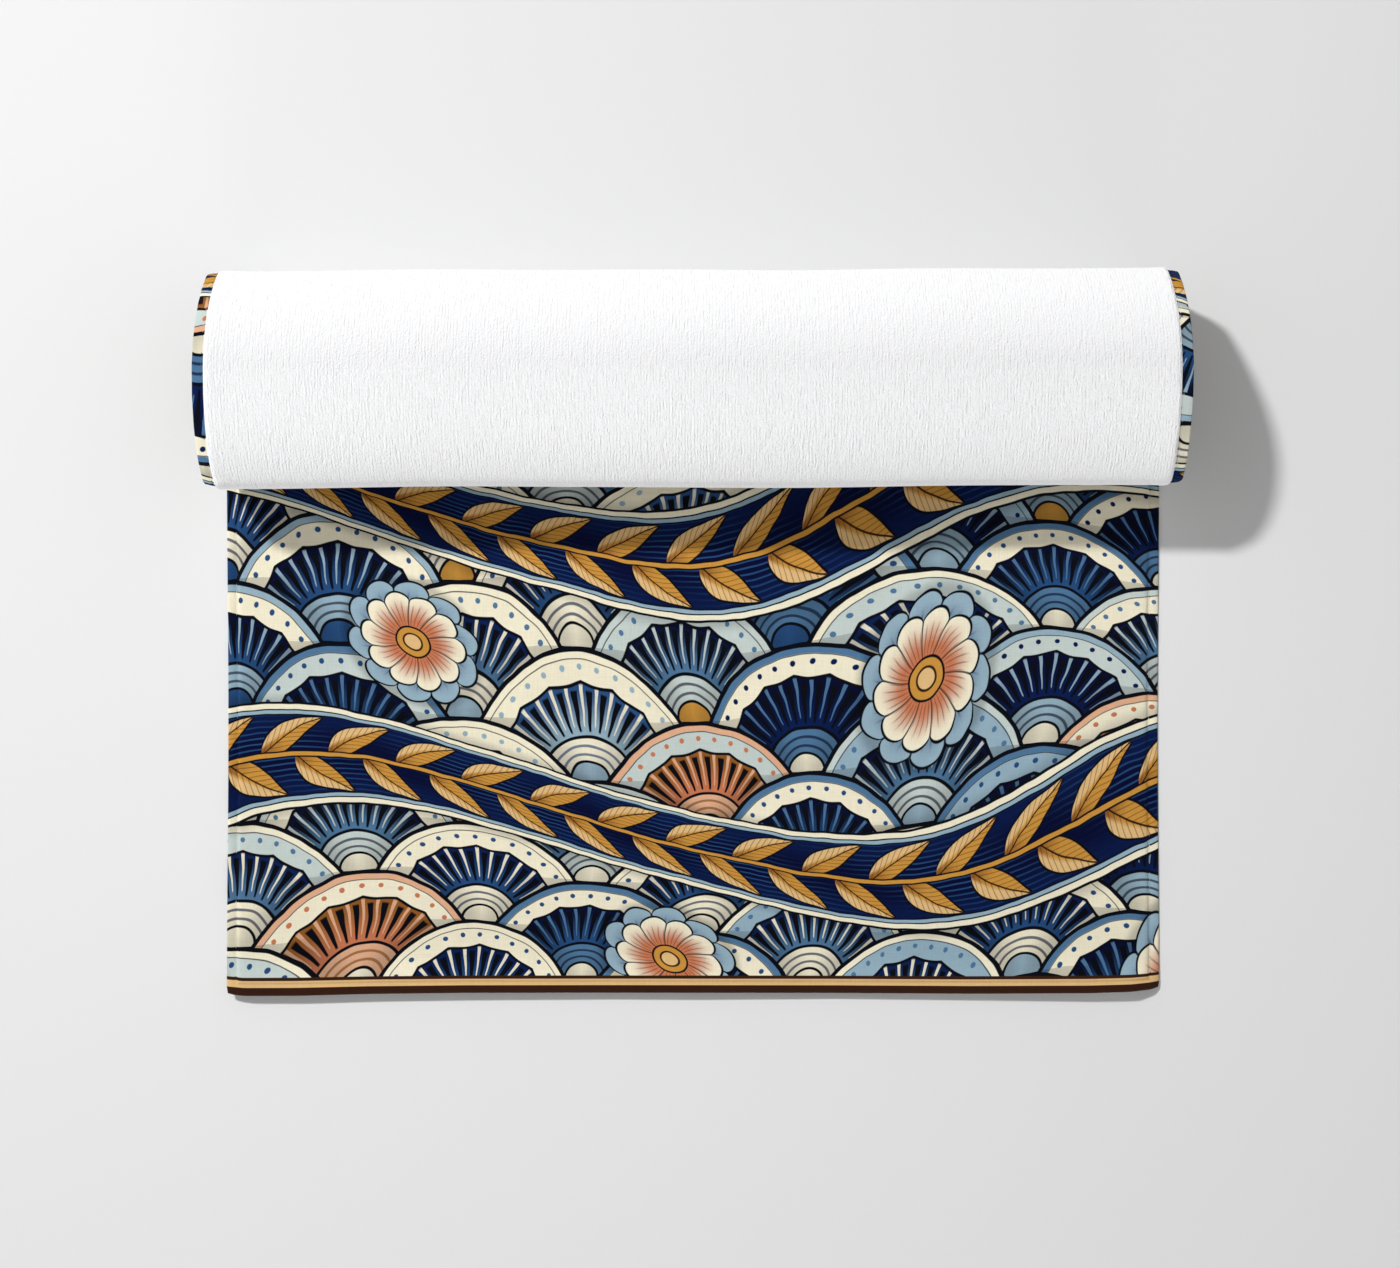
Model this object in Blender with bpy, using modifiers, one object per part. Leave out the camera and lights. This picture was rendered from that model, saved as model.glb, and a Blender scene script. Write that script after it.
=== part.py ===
"""A beach towel that lies flat from its front hem and is loosely rolled up from its far end, terry side out.

Metres, +Z up. +X runs across the towel and +Y from the front hem to the roll. The origin is the middle of the
footprint, on the surface that the towel lies on.

The towel starts as a flat grid of its cut size. Each point keeps its distance along the cloth and across it,
and is carried to the place that this stretch of cloth has, flat on the surface or round the roll.
"""

import math

import bpy
import numpy as np

TOWEL_WIDTH = 0.800
TOWEL_LENGTH = 1.600
FLAT_RUN = 0.518  # from the front hem to the line where the cloth leaves the surface, under the roll

BODY_THICKNESS = 0.0044  # velour face, ground weave and terry loops together
HEM_THICKNESS = 0.0032  # the edge, turned once to the back and stitched flat
HEM_WIDTH = 0.010
HEM_SLOPE = 0.004  # beside the hem the loops rise to their full height over this width

# The roll in section, a row for each turn, all to the middle of the cloth. Floor and crown are its lowest and
# highest heights, far and near its reach to the two sides of the roll's axis, and far_side and near_side the
# share of its height at which it is widest there. Slip is how far the turn has crept sideways. Each turn lies
# on the one before it and stands a little clear of it elsewhere.
ROLL_TURNS = (
    {"floor": 0.0022, "far": 0.1040, "far_side": 0.276, "crown": 0.1390, "near": 0.0980, "near_side": 0.42,
     "slip": 0.0000},
    {"floor": 0.0078, "far": 0.0730, "far_side": 0.31, "crown": 0.1230, "near": 0.0680, "near_side": 0.59,
     "slip": 0.0004},
    {"floor": 0.0134, "far": 0.0440, "far_side": 0.40, "crown": 0.0860, "near": 0.0372, "near_side": 0.52,
     "slip": -0.0016},
    {"floor": 0.0196, "far": 0.0250, "far_side": 0.46, "crown": 0.0620, "near": 0.0200, "near_side": 0.50,
     "slip": 0.0010},
)

# The roll's two sides are pressed flat: no turn reaches much farther from the axis than these walls, told by
# their reach at WALL_TOP and by how much they lean in below it, for each metre down.
FAR_WALL = {"reach": 0.0891, "lean": 0.10}
NEAR_WALL = {"reach": 0.0898, "lean": 0.14}
WALL_TOP = 0.090
WALL_HARDNESS = 40  # how sharply a turn bends into its wall
FAR_SHOULDER = 1.5  # from the crown to the far side a turn slopes down straighter than an ellipse, which has 1

# The front hem from side to side: how high it curls up, and how far it runs out of straight.
FRONT_HEM = (
    {"across": -0.400, "lift": 0.0100, "forward": 0.0012},
    {"across": -0.376, "lift": 0.0118, "forward": 0.0025},
    {"across": -0.200, "lift": 0.0112, "forward": 0.0000},
    {"across": 0.120, "lift": 0.0086, "forward": 0.0004},
    {"across": 0.240, "lift": 0.0100, "forward": 0.0009},
    {"across": 0.376, "lift": 0.0138, "forward": -0.0012},
    {"across": 0.400, "lift": 0.0010, "forward": -0.0030},
)
FRONT_CURL_REACH = 0.036  # from the hem to where the cloth lies flat
FRONT_BEND_REACH = 0.050  # the hem's waviness in plan dies away over this length

HEM_DRAW_IN = 0.0022  # the stitched hems are tighter than the pile, and pull the roll's ends in
UNEVENNESS = 0.0009  # long soft waves of the roll, in and out
SKEW = 0.0022  # the roll lies this much out of square with the front hem, over the towel's width
WAIST = 0.0013  # the flat part's sides draw in by this much, midway along them
WAIST_LENGTH = 0.460

FLAT_STEP = 0.100  # spacing of the grid's rows on the flat
ROLL_STEP = 0.0112  # and round the roll
SPAN_COLUMNS = 8  # columns of the grid between the two side hems
SAMPLES_PER_TURN = 720

PRINT_COLOUR = (0.20, 0.25, 0.30, 1.0)
TERRY_COLOUR = (0.86, 0.86, 0.85, 1.0)


def smooth_step(share):
    """0 up to 0, 1 from 1, and an even S between them."""
    share = min(max(share, 0.0), 1.0)
    return share * share * (3 - 2 * share)


def blend(start, end, share):
    return start + (end - start) * share


def held_by_wall(reach, height, wall):
    """A reach from the axis, kept by a soft bend from passing the wall on its side."""
    limit = wall["reach"] - wall["lean"] * (WALL_TOP - height)
    return reach / (1 + (reach / limit) ** WALL_HARDNESS) ** (1 / WALL_HARDNESS)


def point_on_roll(turns):
    """(reach from the axis, height, sideways slip) of the cloth's middle, after so many turns round the roll.

    Each quarter turn is nearly a quarter of an ellipse between two of the table's places, so the cloth runs
    level at its floors and crowns and upright at its sides, where the walls flatten it.
    """
    number, within = divmod(turns, 1)
    quarter, share = divmod(4 * within, 1)
    row = ROLL_TURNS[int(number)]
    following = ROLL_TURNS[int(number) + 1]
    forward = math.sin(share * math.pi / 2)
    back = math.cos(share * math.pi / 2)
    far_height = blend(row["floor"], row["crown"], row["far_side"])
    near_height = blend(following["floor"], row["crown"], row["near_side"])
    slip = blend(row["slip"], following["slip"], smooth_step(within))
    if quarter == 0:
        reach, height = row["far"] * forward, blend(far_height, row["floor"], back)
    elif quarter == 1:
        reach, height = row["far"] * back, blend(far_height, row["crown"], forward ** FAR_SHOULDER)
    elif quarter == 2:
        reach, height = row["near"] * forward, blend(near_height, row["crown"], back)
    else:
        reach, height = row["near"] * back, blend(near_height, following["floor"], forward)
    if quarter < 2:
        return held_by_wall(reach, height, FAR_WALL), height, slip
    return -held_by_wall(reach, height, NEAR_WALL), height, slip


class ClothLine:
    """The middle of the cloth in section, told by the distance along it from the front hem."""

    def __init__(self):
        most_turns = len(ROLL_TURNS) - 1
        turns = np.linspace(0, most_turns, most_turns * SAMPLES_PER_TURN, endpoint=False)
        roll = np.array([point_on_roll(t) for t in turns])
        steps = np.linalg.norm(np.diff(roll[:, :2], axis=0), axis=1)
        self.along = FLAT_RUN + np.concatenate([[0], np.cumsum(steps)])
        self.reach, self.height, self.slip = roll.T
        self.turns = turns

    def place(self, along):
        """(reach, height, slip, turns) at a distance along the cloth."""
        if along <= FLAT_RUN:
            return along - FLAT_RUN, self.height[0], 0.0, 0.0
        columns = (self.reach, self.height, self.slip, self.turns)
        return tuple(float(np.interp(along, self.along, column)) for column in columns)

    def face_normal(self, along):
        """The way that the printed face looks: up on the flat, and inwards round the roll."""
        reach_before, height_before, _, _ = self.place(along - 0.001)
        reach_after, height_after, _, _ = self.place(along + 0.001)
        ahead = (reach_after - reach_before, height_after - height_before)
        length = math.hypot(*ahead)
        return -ahead[1] / length, ahead[0] / length


def thickness_at(across, along):
    """Thickness of the cloth: thin at the hems and full between them."""
    from_edge = min(TOWEL_WIDTH / 2 - abs(across), along, TOWEL_LENGTH - along)
    return blend(HEM_THICKNESS, BODY_THICKNESS, smooth_step((from_edge - HEM_WIDTH) / HEM_SLOPE))


def front_hem(across, name):
    """One column of the front hem's table, at a distance from the middle."""
    return float(np.interp(across, [row["across"] for row in FRONT_HEM], [row[name] for row in FRONT_HEM]))


def place_in_space(line, across, along):
    """Where a point of the flat cloth lies once the towel is rolled: x, y, z, with y from the roll's axis."""
    reach, height, slip, turns = line.place(along)
    normal_y, normal_z = line.face_normal(along)
    rolled = smooth_step(4 * turns)
    from_side = TOWEL_WIDTH / 2 - abs(across)
    drawn_in = HEM_DRAW_IN * smooth_step(1 - from_side / (HEM_WIDTH + HEM_SLOPE)) * rolled
    wave = math.sin(2 * math.pi * across / 0.47 + 0.8) * math.sin(2 * math.pi * turns + 0.5)
    uneven = UNEVENNESS * wave * rolled
    back_lies_flush = (thickness_at(across, along) - BODY_THICKNESS) / 2
    inwards = drawn_in + uneven + back_lies_flush

    curl = smooth_step(1 - along / FRONT_CURL_REACH) ** 1.5
    lift = front_hem(across, "lift") * curl
    forward = front_hem(across, "forward") * math.exp(-along / FRONT_BEND_REACH)
    waist = WAIST * math.sin(math.pi * min(along / WAIST_LENGTH, 1.0)) ** 2
    x = across * (1 - waist / (TOWEL_WIDTH / 2)) + slip
    y = reach + normal_y * inwards + SKEW * across / TOWEL_WIDTH * rolled - forward
    return x, y, height + normal_z * inwards + lift


def side_columns():
    """Where the grid's columns run, across the towel: close together at the hems and wide between them."""
    edge_columns = (0.0, HEM_WIDTH / 2, HEM_WIDTH, HEM_WIDTH + HEM_SLOPE)
    right = [TOWEL_WIDTH / 2 - distance for distance in edge_columns]
    left = [-x for x in right]
    between = np.linspace(left[-1], right[-1], SPAN_COLUMNS + 1)[1:-1]
    return left + list(between) + right[::-1]


def length_rows():
    """Where the grid's rows run, along the towel: wide on the flat, close together round the roll."""
    hem_rows = [0.0, HEM_WIDTH, HEM_WIDTH + HEM_SLOPE]
    curl_middle = (hem_rows[-1] + FRONT_CURL_REACH) / 2
    flat_end = FLAT_RUN - 2 * ROLL_STEP
    flat_rows = np.linspace(FRONT_CURL_REACH, flat_end, round((flat_end - FRONT_CURL_REACH) / FLAT_STEP) + 1)
    inner_hem = [TOWEL_LENGTH - distance for distance in hem_rows[::-1]]
    roll_rows = np.linspace(flat_end, inner_hem[0], round((inner_hem[0] - flat_end) / ROLL_STEP) + 1)
    return [*hem_rows, curl_middle, *flat_rows, *roll_rows[1:-1], *inner_hem]


def make_material(name, colour, roughness):
    material = bpy.data.materials.new(name)
    material.use_nodes = True
    shader = material.node_tree.nodes["Principled BSDF"]
    shader.inputs["Base Color"].default_value = colour
    shader.inputs["Roughness"].default_value = roughness
    shader.inputs["Metallic"].default_value = 0.0
    material.diffuse_color = colour
    return material


def flat_grid(columns, rows):
    """The cut cloth as a grid object, one cell between each two columns and rows, and its points' places."""
    bpy.ops.mesh.primitive_grid_add(x_subdivisions=len(columns) - 1, y_subdivisions=len(rows) - 1, size=1)
    cloth = bpy.context.active_object
    places = []
    for vertex in cloth.data.vertices:
        column = round((vertex.co.x + 0.5) * (len(columns) - 1))
        row = round((vertex.co.y + 0.5) * (len(rows) - 1))
        places.append((columns[column], rows[row]))
    return cloth, places


def make_towel(collection):
    """The towel as one closed solid: the grid rolled up, then given its thickness."""
    line = ClothLine()
    cloth, places = flat_grid(side_columns(), length_rows())
    cloth.name = cloth.data.name = "towel"
    for other in list(cloth.users_collection):
        other.objects.unlink(cloth)
    collection.objects.link(cloth)

    points = np.array([place_in_space(line, across, along) for across, along in places])
    far_side = points[:, 1].max() + BODY_THICKNESS / 2
    middle = (0.0, (points[:, 1].min() + far_side) / 2)
    thickness_group = cloth.vertex_groups.new(name="thickness")
    for vertex, (across, along), point in zip(cloth.data.vertices, places, points):
        vertex.co = (point[0] - middle[0], point[1] - middle[1], point[2])
        thickness_group.add([vertex.index], thickness_at(across, along) / BODY_THICKNESS, "REPLACE")

    solid = cloth.modifiers.new("thickness", "SOLIDIFY")
    solid.thickness = BODY_THICKNESS
    solid.offset = 0.0
    solid.vertex_group = thickness_group.name
    solid.use_even_offset = True
    solid.material_offset = 1
    cloth.data.materials.append(make_material("printed_velour", PRINT_COLOUR, 0.85))
    cloth.data.materials.append(make_material("white_terry", TERRY_COLOUR, 0.95))
    cloth.data.shade_smooth()
    return cloth


def main():
    for thing in list(bpy.data.objects):
        bpy.data.objects.remove(thing, do_unlink=True)
    collection = bpy.data.collections.new("beach_towel")
    bpy.context.scene.collection.children.link(collection)
    make_towel(collection)


main()
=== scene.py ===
import math

import bpy
import numpy as np
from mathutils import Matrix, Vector


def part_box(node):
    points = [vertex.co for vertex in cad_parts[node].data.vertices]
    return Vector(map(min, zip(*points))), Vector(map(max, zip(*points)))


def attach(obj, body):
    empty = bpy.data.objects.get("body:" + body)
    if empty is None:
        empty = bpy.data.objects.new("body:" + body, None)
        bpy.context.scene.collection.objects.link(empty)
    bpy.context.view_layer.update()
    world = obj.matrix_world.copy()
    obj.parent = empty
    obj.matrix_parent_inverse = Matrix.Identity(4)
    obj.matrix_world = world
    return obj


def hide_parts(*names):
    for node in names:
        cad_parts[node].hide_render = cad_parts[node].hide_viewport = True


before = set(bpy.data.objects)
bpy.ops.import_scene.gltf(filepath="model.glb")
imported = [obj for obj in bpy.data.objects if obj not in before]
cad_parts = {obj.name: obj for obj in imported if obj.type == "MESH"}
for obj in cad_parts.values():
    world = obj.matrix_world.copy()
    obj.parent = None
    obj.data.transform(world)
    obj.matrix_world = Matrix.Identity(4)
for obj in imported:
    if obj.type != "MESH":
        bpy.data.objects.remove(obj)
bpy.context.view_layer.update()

# The towel's own lengths. Across runs from the middle to the two side hems, along runs from the front hem.
towelSize = {
    "width": 0.800,
    "length": 1.600,
    "flatRun": 0.518,  # from the front hem to where the cloth leaves the floor, under the roll
    "thickness": 0.0044,
    "hemStrip": 0.0095,  # the part of each hem that shows on the back
}

# The roll in section, a row for each turn, to the middle of the cloth. The reaches are from the roll's axis,
# and the sides are the shares of its height at which the turn is widest.
rollTurns = (
    {"floor": 0.0022, "far": 0.1040, "farSide": 0.276, "crown": 0.1390, "near": 0.0980, "nearSide": 0.42,
     "slip": 0.0000},
    {"floor": 0.0078, "far": 0.0730, "farSide": 0.31, "crown": 0.1230, "near": 0.0680, "nearSide": 0.59,
     "slip": 0.0004},
    {"floor": 0.0134, "far": 0.0440, "farSide": 0.40, "crown": 0.0860, "near": 0.0372, "nearSide": 0.52,
     "slip": -0.0016},
    {"floor": 0.0196, "far": 0.0250, "farSide": 0.46, "crown": 0.0620, "near": 0.0200, "nearSide": 0.50,
     "slip": 0.0010},
)

# The roll's two sides are pressed flat: no turn reaches much farther from the axis than these walls, which
# lean in below their top. From its crown to its far side a turn slopes down straighter than an ellipse.
rollWalls = {"far": 0.0891, "farLean": 0.10, "near": 0.0898, "nearLean": 0.14, "top": 0.090, "hardness": 40}
farShoulder = 1.5

# The front hem from side to side: how high it curls up off the floor, and how far it runs out of straight.
frontHem = (
    {"across": -0.400, "lift": 0.0100, "forward": 0.0012},
    {"across": -0.385, "lift": 0.0116, "forward": 0.0026},
    {"across": -0.340, "lift": 0.0120, "forward": 0.0024},
    {"across": -0.280, "lift": 0.0116, "forward": 0.0009},
    {"across": -0.200, "lift": 0.0112, "forward": 0.0000},
    {"across": -0.080, "lift": 0.0100, "forward": 0.0000},
    {"across": 0.000, "lift": 0.0106, "forward": 0.0000},
    {"across": 0.120, "lift": 0.0086, "forward": 0.0004},
    {"across": 0.240, "lift": 0.0100, "forward": 0.0009},
    {"across": 0.340, "lift": 0.0132, "forward": 0.0000},
    {"across": 0.375, "lift": 0.0140, "forward": -0.0012},
    {"across": 0.391, "lift": 0.0080, "forward": -0.0022},
    {"across": 0.400, "lift": 0.0010, "forward": -0.0030},
)

clothForm = {
    "drawIn": 0.0022,  # the hems pull the roll's ends in by this much
    "drawReach": 0.014,
    "skew": 0.0022,  # the roll lies this much out of square with the hems, over the towel's width
    "waist": 0.0013,  # the flat part's sides draw in by this much, midway
    "cornerRound": 0.0008,
    "cornerReach": 0.0060,
    "curlDrawsIn": 0.20,  # where the front hem curls up, its ends come in by this share of the lift
    "drawUneven": 0.25,  # the ends are drawn in by this share more and less, in waves of this length
    "drawWave": 0.137,
    "waistLength": 0.46,
    "waistReach": 0.1,
    "unevenness": 0.0009,  # long soft waves in and out of the roll
    "pucker": 0.00035,  # short waves along the hems, from the sewing
    "puckerLength": 0.023,
    "puckerReach": 0.012,
    "flatPucker": 0.35,  # the share of the puckers that is left where the cloth lies flat
    "frontReach": 0.036,  # how far in from the front hem it curls up, and how steeply
    "curlPower": 1.5,
    "forwardReach": 0.05,
    "easeBefore": 0.02,  # the floor's pressure fades from here before the roll, over this length
    "easeLength": 0.05,
    "floorGap": 0.0001,  # nothing lies lower than this
    "linePoints": 3000,  # how finely the roll's section is read
    "slopeStep": 0.0012,
    "columnStep": 0.0082,
    "flatStep": 0.0080,
    "rollStep": 0.0046,
}

# The soft waves of the roll's surface: their size, their length across, and where they start both ways.
rollWaves = (
    {"size": 1.0, "length": 0.47, "across": 0.8, "around": 0.5},
    {"size": 0.45, "length": 0.21, "across": 2.1, "around": 2.3},
)

# Across a hem, a row for each change: how far in from the edge, and how high the two faces of the cloth stand
# over its middle. The first rows round the folded edge, the dip is the line of stitches.
hemProfile = (
    {"fromEdge": 0.0000, "face": 0.0004, "back": -0.0002},
    {"fromEdge": 0.0004, "face": 0.0010, "back": -0.0008},
    {"fromEdge": 0.0011, "face": 0.0013, "back": -0.0011},
    {"fromEdge": 0.0026, "face": 0.0015, "back": -0.0013},
    {"fromEdge": 0.0056, "face": 0.0015, "back": -0.0013},
    {"fromEdge": 0.0070, "face": 0.0013, "back": -0.0010},
    {"fromEdge": 0.0079, "face": 0.0011, "back": -0.0007},
    {"fromEdge": 0.0088, "face": 0.0013, "back": -0.0010},
    {"fromEdge": 0.0095, "face": 0.0015, "back": -0.0010},
    {"fromEdge": 0.0101, "face": 0.0017, "back": -0.0018},
    {"fromEdge": 0.0112, "face": 0.0020, "back": -0.0024},
    {"fromEdge": 0.0140, "face": 0.0021, "back": -0.0025},
    {"fromEdge": 0.0180, "face": 0.0022, "back": -0.0024},
    {"fromEdge": 0.0240, "face": 0.0022, "back": -0.0022},
    {"fromEdge": 0.0300, "face": 0.0022, "back": -0.0022},
)

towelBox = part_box("towel")
frontY = towelBox[0].y + max(row["forward"] for row in frontHem)  # the box reaches to the hem's foremost bend
axisY = frontY + towelSize["flatRun"]


def smoothStep(share):
    share = np.clip(share, 0.0, 1.0)
    return share * share * (3 - 2 * share)


def readTable(table, key, places, names):
    # the values in a table's named columns, read between its rows at these places
    at = [row[key] for row in table]
    return {name: np.interp(places, at, [row[name] for row in table]) for name in names}


def rollSection(turns):
    # reach from the axis, height and slip of the cloth's middle after so many turns: quarter ellipses
    number = np.minimum(turns.astype(int), len(rollTurns) - 2)
    within = turns - number
    column = {name: np.array([row[name] for row in rollTurns]) for name in rollTurns[0]}
    floor, nextFloor = column["floor"][number], column["floor"][number + 1]
    far, near, crown = column["far"][number], column["near"][number], column["crown"][number]
    angle = within * 2 * math.pi
    rising = within < 0.5
    base = np.where(rising, floor, nextFloor)
    side = base + (crown - base) * np.where(rising, column["farSide"][number], column["nearSide"][number])
    below = np.cos(angle) > 0
    upwards = np.maximum(-np.cos(angle), 0) ** np.where(rising, farShoulder, 1)
    height = np.where(below, side - (side - base) * np.cos(angle), side + (crown - side) * upwards)
    reach = np.where(rising, far, near) * np.sin(angle)
    wall = np.where(rising, rollWalls["far"], rollWalls["near"])
    wall -= np.where(rising, rollWalls["farLean"], rollWalls["nearLean"]) * (rollWalls["top"] - height)
    reach /= (1 + np.abs(reach / wall) ** rollWalls["hardness"]) ** (1 / rollWalls["hardness"])
    slip = column["slip"]
    slipped = slip[number] + (slip[number + 1] - slip[number]) * smoothStep(within)
    return reach, height, slipped


def makeClothLine():
    # a table from distance along the cloth to its place in section
    turns = np.linspace(0, len(rollTurns) - 1 - 1e-6, clothForm["linePoints"])
    reach, height, slip = rollSection(turns)
    along = towelSize["flatRun"] + np.concatenate([[0], np.cumsum(np.hypot(np.diff(reach), np.diff(height)))])
    return {"along": along, "reach": reach, "height": height, "slip": slip, "turns": turns}


clothLine = makeClothLine()


def middleOfCloth(along):
    read = {name: np.interp(along, clothLine["along"], clothLine[name]) for name in clothLine}
    flat = along < towelSize["flatRun"]
    read["reach"] = np.where(flat, along - towelSize["flatRun"], read["reach"])
    return read


def placeOnCloth(across, along, offset):
    # points at offset over the cloth's middle, towards its printed face, and that face's normal
    here = middleOfCloth(along)
    step = clothForm["slopeStep"]
    before, after = middleOfCloth(along - step), middleOfCloth(along + step)
    aheadY, aheadZ = after["reach"] - before["reach"], after["height"] - before["height"]
    length = np.hypot(aheadY, aheadZ)
    aheadY, aheadZ = aheadY / length, aheadZ / length

    onRoll = smoothStep(4 * here["turns"])  # comes in over the first quarter turn
    fromSide = towelSize["width"] / 2 - np.abs(across)
    wave = sum(row["size"] * np.sin(2 * math.pi * across / row["length"] + row["across"])
               * np.sin(2 * math.pi * here["turns"] + row["around"]) for row in rollWaves)
    drawnIn = clothForm["drawIn"] * smoothStep(1 - fromSide / clothForm["drawReach"]) * onRoll
    uneven = np.sin(2 * math.pi * along / clothForm["drawWave"] + np.sign(across))
    drawnIn *= 1 + clothForm["drawUneven"] * uneven
    pucker = np.sin(2 * math.pi * along / clothForm["puckerLength"] + 1.7 * np.sin(along * 31 + across * 9))
    flatShare = clothForm["flatPucker"]
    pucker *= clothForm["pucker"] * np.exp(-fromSide / clothForm["puckerReach"])
    pucker *= flatShare + (1 - flatShare) * onRoll
    inwards = offset + drawnIn + clothForm["unevenness"] * wave * onRoll + pucker * onRoll

    curl = smoothStep(1 - along / clothForm["frontReach"]) ** clothForm["curlPower"]
    hem = readTable(frontHem, "across", across, ("lift", "forward"))
    waist = clothForm["waist"] * np.sin(math.pi * np.clip(along / clothForm["waistLength"], 0, 1)) ** 2
    reach = clothForm["cornerReach"]
    corner = clothForm["cornerRound"] * np.clip(1 - fromSide / reach, 0, 1) * np.clip(1 - along / reach, 0, 1)
    lift = hem["lift"] * curl
    narrower = waist * smoothStep(2 - fromSide / clothForm["waistReach"]) + corner
    narrower += lift * clothForm["curlDrawsIn"]
    x = across + here["slip"] - np.sign(across) * narrower
    y = axisY + here["reach"] - aheadZ * inwards + clothForm["skew"] * across / towelSize["width"] * onRoll
    y += corner - hem["forward"] * np.exp(-along / clothForm["forwardReach"])
    z = here["height"] + aheadY * inwards + lift
    points = np.stack([x, y, z], axis=-1)
    normals = np.stack([np.zeros_like(y), -aheadZ, aheadY], axis=-1)
    return points, normals


def faceOffsets(across, along):
    # how far the two faces stand from the cloth's middle, and how much of it the floor presses flat
    fromSide = towelSize["width"] / 2 - np.abs(across)
    fromEdge = np.minimum(np.minimum(fromSide, along), towelSize["length"] - along)
    read = readTable(hemProfile, "fromEdge", fromEdge, ("face", "back"))
    half = towelSize["thickness"] / 2
    pastEase = along - towelSize["flatRun"] + clothForm["easeBefore"]
    onFloor = 1 - smoothStep(pastEase / clothForm["easeLength"])
    pressed = -half - read["back"]
    shift = np.where(fromEdge < hemProfile[-1]["fromEdge"], pressed, np.minimum(pressed, 0)) * onFloor
    return read["face"] + shift, read["back"] + shift


def spread(start, end, step):
    return np.linspace(start, end, max(2, round((end - start) / step) + 1))


def clothStations():
    inFromEdge = [row["fromEdge"] for row in hemProfile]
    half = towelSize["width"] / 2
    left = [inset - half for inset in inFromEdge[:-1]]
    inner = spread(-half + inFromEdge[-1], half - inFromEdge[-1], clothForm["columnStep"])
    right = [half - inset for inset in inFromEdge[-2::-1]]
    columns = np.concatenate([left, inner, right])
    end = towelSize["length"]
    settled = towelSize["flatRun"] - clothForm["easeBefore"]
    flat = spread(inFromEdge[-1], settled, clothForm["flatStep"])
    rolled = spread(settled, end - inFromEdge[-1], clothForm["rollStep"])
    rows = np.concatenate([inFromEdge[:-1], flat, rolled[1:], [end - inset for inset in inFromEdge[-2::-1]]])
    return columns, rows


def gridFaces(start, across, along, flipped):
    # quads of a grid of points, row after row
    i, j = np.meshgrid(np.arange(across - 1), np.arange(along - 1))
    corner = (start + j * across + i).ravel()
    quads = np.stack([corner, corner + 1, corner + 1 + across, corner + across], axis=1)
    return quads[:, ::-1] if flipped else quads


def edgeLoop(across, along):
    # indices of a grid's outer points, once round
    bottom = list(range(across))
    right = [j * across + across - 1 for j in range(1, along)]
    top = [(along - 1) * across + i for i in range(across - 2, -1, -1)]
    left = [j * across for j in range(along - 2, 0, -1)]
    return np.array(bottom + right + top + left)


def newMesh(name, points, faces):
    mesh = bpy.data.meshes.new(name)
    mesh.from_pydata([tuple(p) for p in points], [], [tuple(int(i) for i in f) for f in faces])
    mesh.update()
    piece = bpy.data.objects.new(name, mesh)
    bpy.context.scene.collection.objects.link(piece)
    return piece


def makeCloth(printed, terry):
    columns, rows = clothStations()
    across, along = np.meshgrid(columns, rows)
    faceOffset, backOffset = faceOffsets(across, along)
    facePoints, _ = placeOnCloth(across, along, faceOffset)
    backPoints, _ = placeOnCloth(across, along, backOffset)
    count = across.size
    points = np.concatenate([facePoints.reshape(-1, 3), backPoints.reshape(-1, 3)])
    points[:, 2] = np.maximum(points[:, 2], clothForm["floorGap"])

    ring = edgeLoop(len(columns), len(rows))
    following = np.roll(ring, -1)
    rim = np.stack([ring, ring + count, following + count, following], axis=1)
    faceQuads = gridFaces(0, len(columns), len(rows), False)
    backQuads = gridFaces(count, len(columns), len(rows), True)
    cloth = newMesh("towel_cloth", points, np.concatenate([faceQuads, backQuads, rim]))
    mesh = cloth.data

    # the print is charted in metres of flat cloth, and runs on over the fold of each hem
    flat = np.stack([across.ravel() + towelSize["width"] / 2, along.ravel()], axis=1)
    flat = np.concatenate([flat, flat])
    corners = np.empty(len(mesh.loops), int)
    mesh.loops.foreach_get("vertex_index", corners)
    quadOf = np.repeat(np.arange(len(mesh.polygons)), 4)
    middle = flat[corners].reshape(-1, 4, 2).mean(axis=1)
    onBack = (np.arange(len(mesh.polygons)) >= len(faceQuads)) & (
        np.arange(len(mesh.polygons)) < len(faceQuads) + len(backQuads))
    size = np.array([towelSize["width"], towelSize["length"]])
    strip = towelSize["hemStrip"]
    chart = flat[corners]
    turned = np.zeros(len(mesh.polygons), bool)
    for way in (0, 1):
        low = onBack & (middle[:, way] < strip)
        high = onBack & (middle[:, way] > size[way] - strip)
        chart[:, way] = np.where(low[quadOf], -chart[:, way], chart[:, way])
        chart[:, way] = np.where(high[quadOf], 2 * size[way] - chart[:, way], chart[:, way])
        turned |= low | high
    layer = mesh.uv_layers.new(name="clothChart")
    layer.data.foreach_set("uv", chart.ravel())
    mesh.polygons.foreach_set("material_index", (onBack & ~turned).astype(int))
    mesh.materials.append(printed)
    mesh.materials.append(terry)
    mesh.shade_smooth()
    return cloth


hemSeam = {
    "fromEdge": 0.0079,
    "pitch": 0.0034,
    "stitchLength": 0.0028,
    "stitchRise": 0.0006,
    "thread": 0.00030,  # half its thickness
    "sunk": 0.0002,  # the stitches pull themselves into the pile
    "lineStep": 0.0020,
    "nudge": 0.0005,  # the steps to both sides that tell which way is out of the cloth
    "smallest": (0.90, 0.90, 0.80),  # the stitches differ in size between these two
    "largest": (1.05, 1.15, 1.15),
    "seed": 7,
}


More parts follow.
